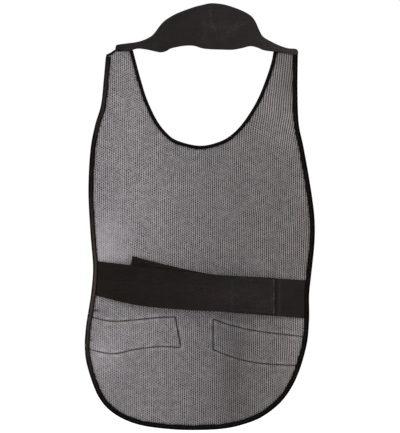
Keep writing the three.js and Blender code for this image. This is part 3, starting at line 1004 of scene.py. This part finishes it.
def strap_grid(top, bottom, root, side):
    """A strap's x and z at each place on it. root: the lower edge's first x, and what the upper edge adds."""
    top, bottom = resample(spline(top, 10), 1.0), resample(spline(bottom, 10), 1.0)
    across = STRAP_ROWS / STRAP_WIDTH
    grid_x = np.empty((len(STRAP_STATIONS), len(across)))
    grid_z = np.empty_like(grid_x)
    for j, t in enumerate(across):
        start = root[0] + root[1] * t
        tip = top[-1][0] * t + bottom[-1][0] * (1 - t)
        x = start + (tip - start) * STRAP_STATIONS
        upper = np.interp(x * side, top[:, 0] * side, top[:, 1])
        lower = np.interp(x * side, bottom[:, 0] * side, bottom[:, 1])
        grid_x[:, j] = x
        grid_z[:, j] = lower * (1 - t) + upper * t
    return grid_x, grid_z


def web(name, x, y, z, half, material):
    """A closed web over a grid of points, half thick each way of y, with its edges welded."""
    along, across = x.shape
    total = along * across
    verts = np.vstack([np.stack([x, y + way * half, z], 2).reshape(-1, 3) for way in (-1, 1)])
    faces = []
    for i in range(along - 1):
        for j in range(across - 1):
            a = i * across + j
            quad = (a, a + 1, a + across + 1, a + across)
            faces.append(quad)
            faces.append(tuple(q + total for q in quad[::-1]))

    def wall(a, b):
        faces.append((a, b, b + total, a + total))

    for j in range(across - 1):
        wall(j + 1, j)
        wall(total - across + j, total - across + j + 1)
    for a in range(0, total - across, across):
        wall(a, a + across)
        wall(a + 2 * across - 1, a + across - 1)
    uv = np.stack([x.ravel(), z.ravel()], 1)
    obj = new_mesh(name, verts, faces, material, np.vstack([uv, uv]))
    bm = bmesh.new()
    bm.from_mesh(obj.data)
    bmesh.ops.remove_doubles(bm, verts=bm.verts[:], dist=2e-6)
    bmesh.ops.recalc_face_normals(bm, faces=bm.faces[:])
    bm.to_mesh(obj.data)
    bm.free()
    return outward(obj)


def left_marks(x, z):
    """Where the left strap is drawn pale: along its sewn square, at its hem as lint and painted light over
    the edge's shadow, and inside the square.
    """
    sewn = to_path(np.stack([x, z], 1), ring(np.array(HOOK_BOX, float)))[0]
    marks = 0.12 * bell(sewn, 2.5)
    marks += 0.5 * bell(x - 191.5, 2.4) * (0.6 + 0.4 * np.sin(TAU * z / 37))
    return marks + (0.12 * lobe(x, z, 100, -762, 110, 26) + 0.1 * lobe(x, z, 165, -790, 26, 14))


def right_marks(x, z):
    """A faint line beside the left strap's end."""
    return 0.12 * bell(x - 206, 5)


def strap(name, top, bottom, root, middle, side, flat_from, seed, marks):
    """A flat web that ripples a little. Its root runs under the binding, level with the lining."""
    x, z = strap_grid(top, bottom, root, side)
    across = STRAP_ROWS / STRAP_WIDTH
    from_edge = np.minimum(across, 1 - across) * STRAP_WIDTH
    from_tip = (1 - STRAP_STATIONS) * STRAP_LENGTH
    from_root = np.abs(x - x[:1])
    half = (STRAP_HALF * rounded(from_edge, 1.0))[None, :] * rounded(from_tip, 1.2)[:, None]
    free = ease(from_root, 20, 80)
    ripple = np.sin(TAU * (x + 0.3 * z) / 160 + seed) * (0.35 + 0.65 * (1 - across)[None, :] ** 2)
    flat_part = 1 - 0.75 * ease(x * side, *flat_from)
    y = middle(x) - 1.1 * free * (1 + ripple) * flat_part * side
    y = y - 0.12 * np.sin(TAU * x / 9.0) * free * bell(from_edge[None, :], 4)
    settle = 1 - ease(from_root, 3, 16)
    y = y * (1 - settle) + (panel_mid(x, z) + LINING_FRONT - STRAP_SEAT) * settle
    obj = web(name, x, y, z, half, STRAP_CLOTH)
    co = np.empty(len(obj.data.vertices) * 3)
    obj.data.vertices.foreach_get("co", co)
    store(obj, "pale_marks_and_painted_light", marks(co[0::3] * 1000, co[2::3] * 1000))  # after the weld, in millimetres
    return obj, (x, z, y, half)


belt_left, left_grid = strap(
    "belt_strap_over", LEFT_TOP, LEFT_BOTTOM, (-280.0, 1.5), left_mid, 1, (20, 80), 0.5, left_marks
)
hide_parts("belt_strap_left")
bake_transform(belt_left)
belt_right, right_grid = strap(
    "belt_strap_under", RIGHT_TOP, RIGHT_BOTTOM, (276.0, 6.0), right_mid, -1, (-260, -200), 1.7, right_marks
)
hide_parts("belt_strap_right")
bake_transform(belt_right)


def on_strap(grid, points, side):
    """The y of a strap's front (side -1) or back (side 1) surface at each point."""
    gx, gz, gy, half = grid
    rows = gx.shape[0]
    columns = np.argmin(np.abs(gx[:, None, gx.shape[1] // 2] - points[:, 0]), axis=0)
    columns = np.clip(columns, 1, rows - 2)
    near = np.abs(gz[columns] - points[:, 1:]).argmin(1)
    return gy[columns, near] + side * half[columns, near]


def strap_pad(name, body, grid, corners, side, thick, material, node, slot):
    """A thin pad with rounded corners, sewn flat on one face of a strap."""
    corners = np.array(corners, float)
    outline = resample(ring(corners), 2.0)[:-1]
    corner_distance = np.min(np.linalg.norm(outline[:, None] - corners[None], axis=2), axis=1)
    toward = corners.mean(0) - outline
    toward /= np.linalg.norm(toward, axis=1)[:, None]
    outline = outline + toward * (1.6 * ease(-corner_distance, -4, 0))[:, None]
    pts, faces, count = fill(outline, 4.0)
    seat = on_strap(grid, pts, side) + side * 0.25
    rim = to_path(pts, ring(pts[:count]))[0]
    raised = thick * (0.55 + 0.45 * ease(rim, 0, 3)) + 0.1 * smooth_noise(pts[:, 0], pts[:, 1], 9, 5)
    front, back = (seat, seat + side * raised)[::side]
    return place(outward(closed_sheet(name, pts, faces, front, back, material)), body, slot, node)


strap_pad("hook_pad", "belt_left", left_grid, HOOK_CORNERS, 1, 1.1, HOOK_TAPE, "belt_hook_pad", "hook_tape")
strap_pad(
    "loop_pad", "belt_right", right_grid, LOOP_CORNERS, -1, 0.9, LOOP_PILE, "belt_loop_pad", "loop_pile"
)


def strap_stitches(name, body, grid, corners, node):
    """Stitching round a box on a strap's front face."""
    line = resample(ring(np.array(corners, float)), 1.5)
    path = at_depth(line, on_strap(grid, line, -1) - 0.1)
    return place(stitches(name, path, -1, 2.6, 3.4, 0.4), body, "thread", node)


strap_stitches("hook_box_stitching", "belt_left", left_grid, HOOK_BOX, "belt_hook_stitch")
strap_stitches("root_box_stitching", "belt_right", right_grid, ROOT_BOX, "belt_root_stitch")

# ---------------- stage, light and camera


FLOOR_RADIUS, FLOOR_Z, FLOOR_SIDES = 2600, -1235, 96
VIEW_HEIGHT, VIEW_X, VIEW_Z = 1.14312, -0.0026, -0.5581  # metres
CENTRE = (0, 0, -0.5)


def floor():
    """A pale disc below the apron."""
    turns = [TAU * k / FLOOR_SIDES for k in range(FLOOR_SIDES)]
    verts = [(FLOOR_RADIUS * math.cos(a), FLOOR_RADIUS * math.sin(a), FLOOR_Z) for a in turns]
    s = Shader("pale_floor")
    tone = s.noise(3, 2)
    colour = s.mix(s.remap(tone, 0.3, 0.7), (0.9, 0.9, 0.9), (0.92, 0.92, 0.92))
    s.bsdf.inputs["Emission Color"].default_value = (1, 1, 1, 1)
    s.bsdf.inputs["Emission Strength"].default_value = 0.12
    s.finish(colour, 0.9)
    obj = new_mesh("floor", verts, [tuple(range(FLOOR_SIDES))], s.material, np.array(verts)[:, :2])


def area_light(name, spot, size, power, colour):
    """A round lamp turned to the apron's middle."""
    data = bpy.data.lights.new(name, "AREA")
    data.shape = "DISK"
    data.size = size
    data.energy = power
    data.color = colour
    obj = bpy.data.objects.new(name, data)
    bpy.context.scene.collection.objects.link(obj)
    obj.location = spot
    obj.rotation_euler = (Vector(CENTRE) - Vector(spot)).to_track_quat("-Z", "Y").to_euler()


def studio():
    """White surroundings, a key lamp at the upper left and a weak one behind."""
    world = bpy.data.worlds.new("studio")
    bpy.context.scene.world = world
    world.use_nodes = True
    world.node_tree.nodes["Background"].inputs[0].default_value = (1, 1, 1, 1)
    world.node_tree.nodes["Background"].inputs[1].default_value = 1.0
    area_light("key", (-1.7, -1.5, 0.7), 1.0, 26, (0.98, 0.99, 1.0))
    area_light("rim", (1.2, 2.8, 1.2), 1.4, 12, (1.0, 1.0, 1.0))
    bpy.context.scene.view_settings.view_transform = "Standard"


def camera():
    """A long lens square to the apron, placed so that the view is as high as stated."""
    data = bpy.data.cameras.new("camera")
    data.lens = 150
    data.sensor_fit = "AUTO"
    data.sensor_width = 36
    obj = bpy.data.objects.new("camera", data)
    bpy.context.scene.collection.objects.link(obj)
    distance = VIEW_HEIGHT * data.lens / data.sensor_width
    obj.location = (VIEW_X, -distance, VIEW_Z)
    obj.rotation_euler = (math.pi / 2, 0, 0)
    bpy.context.scene.camera = obj


floor()
studio()
camera()

bpy.context.view_layer.update()
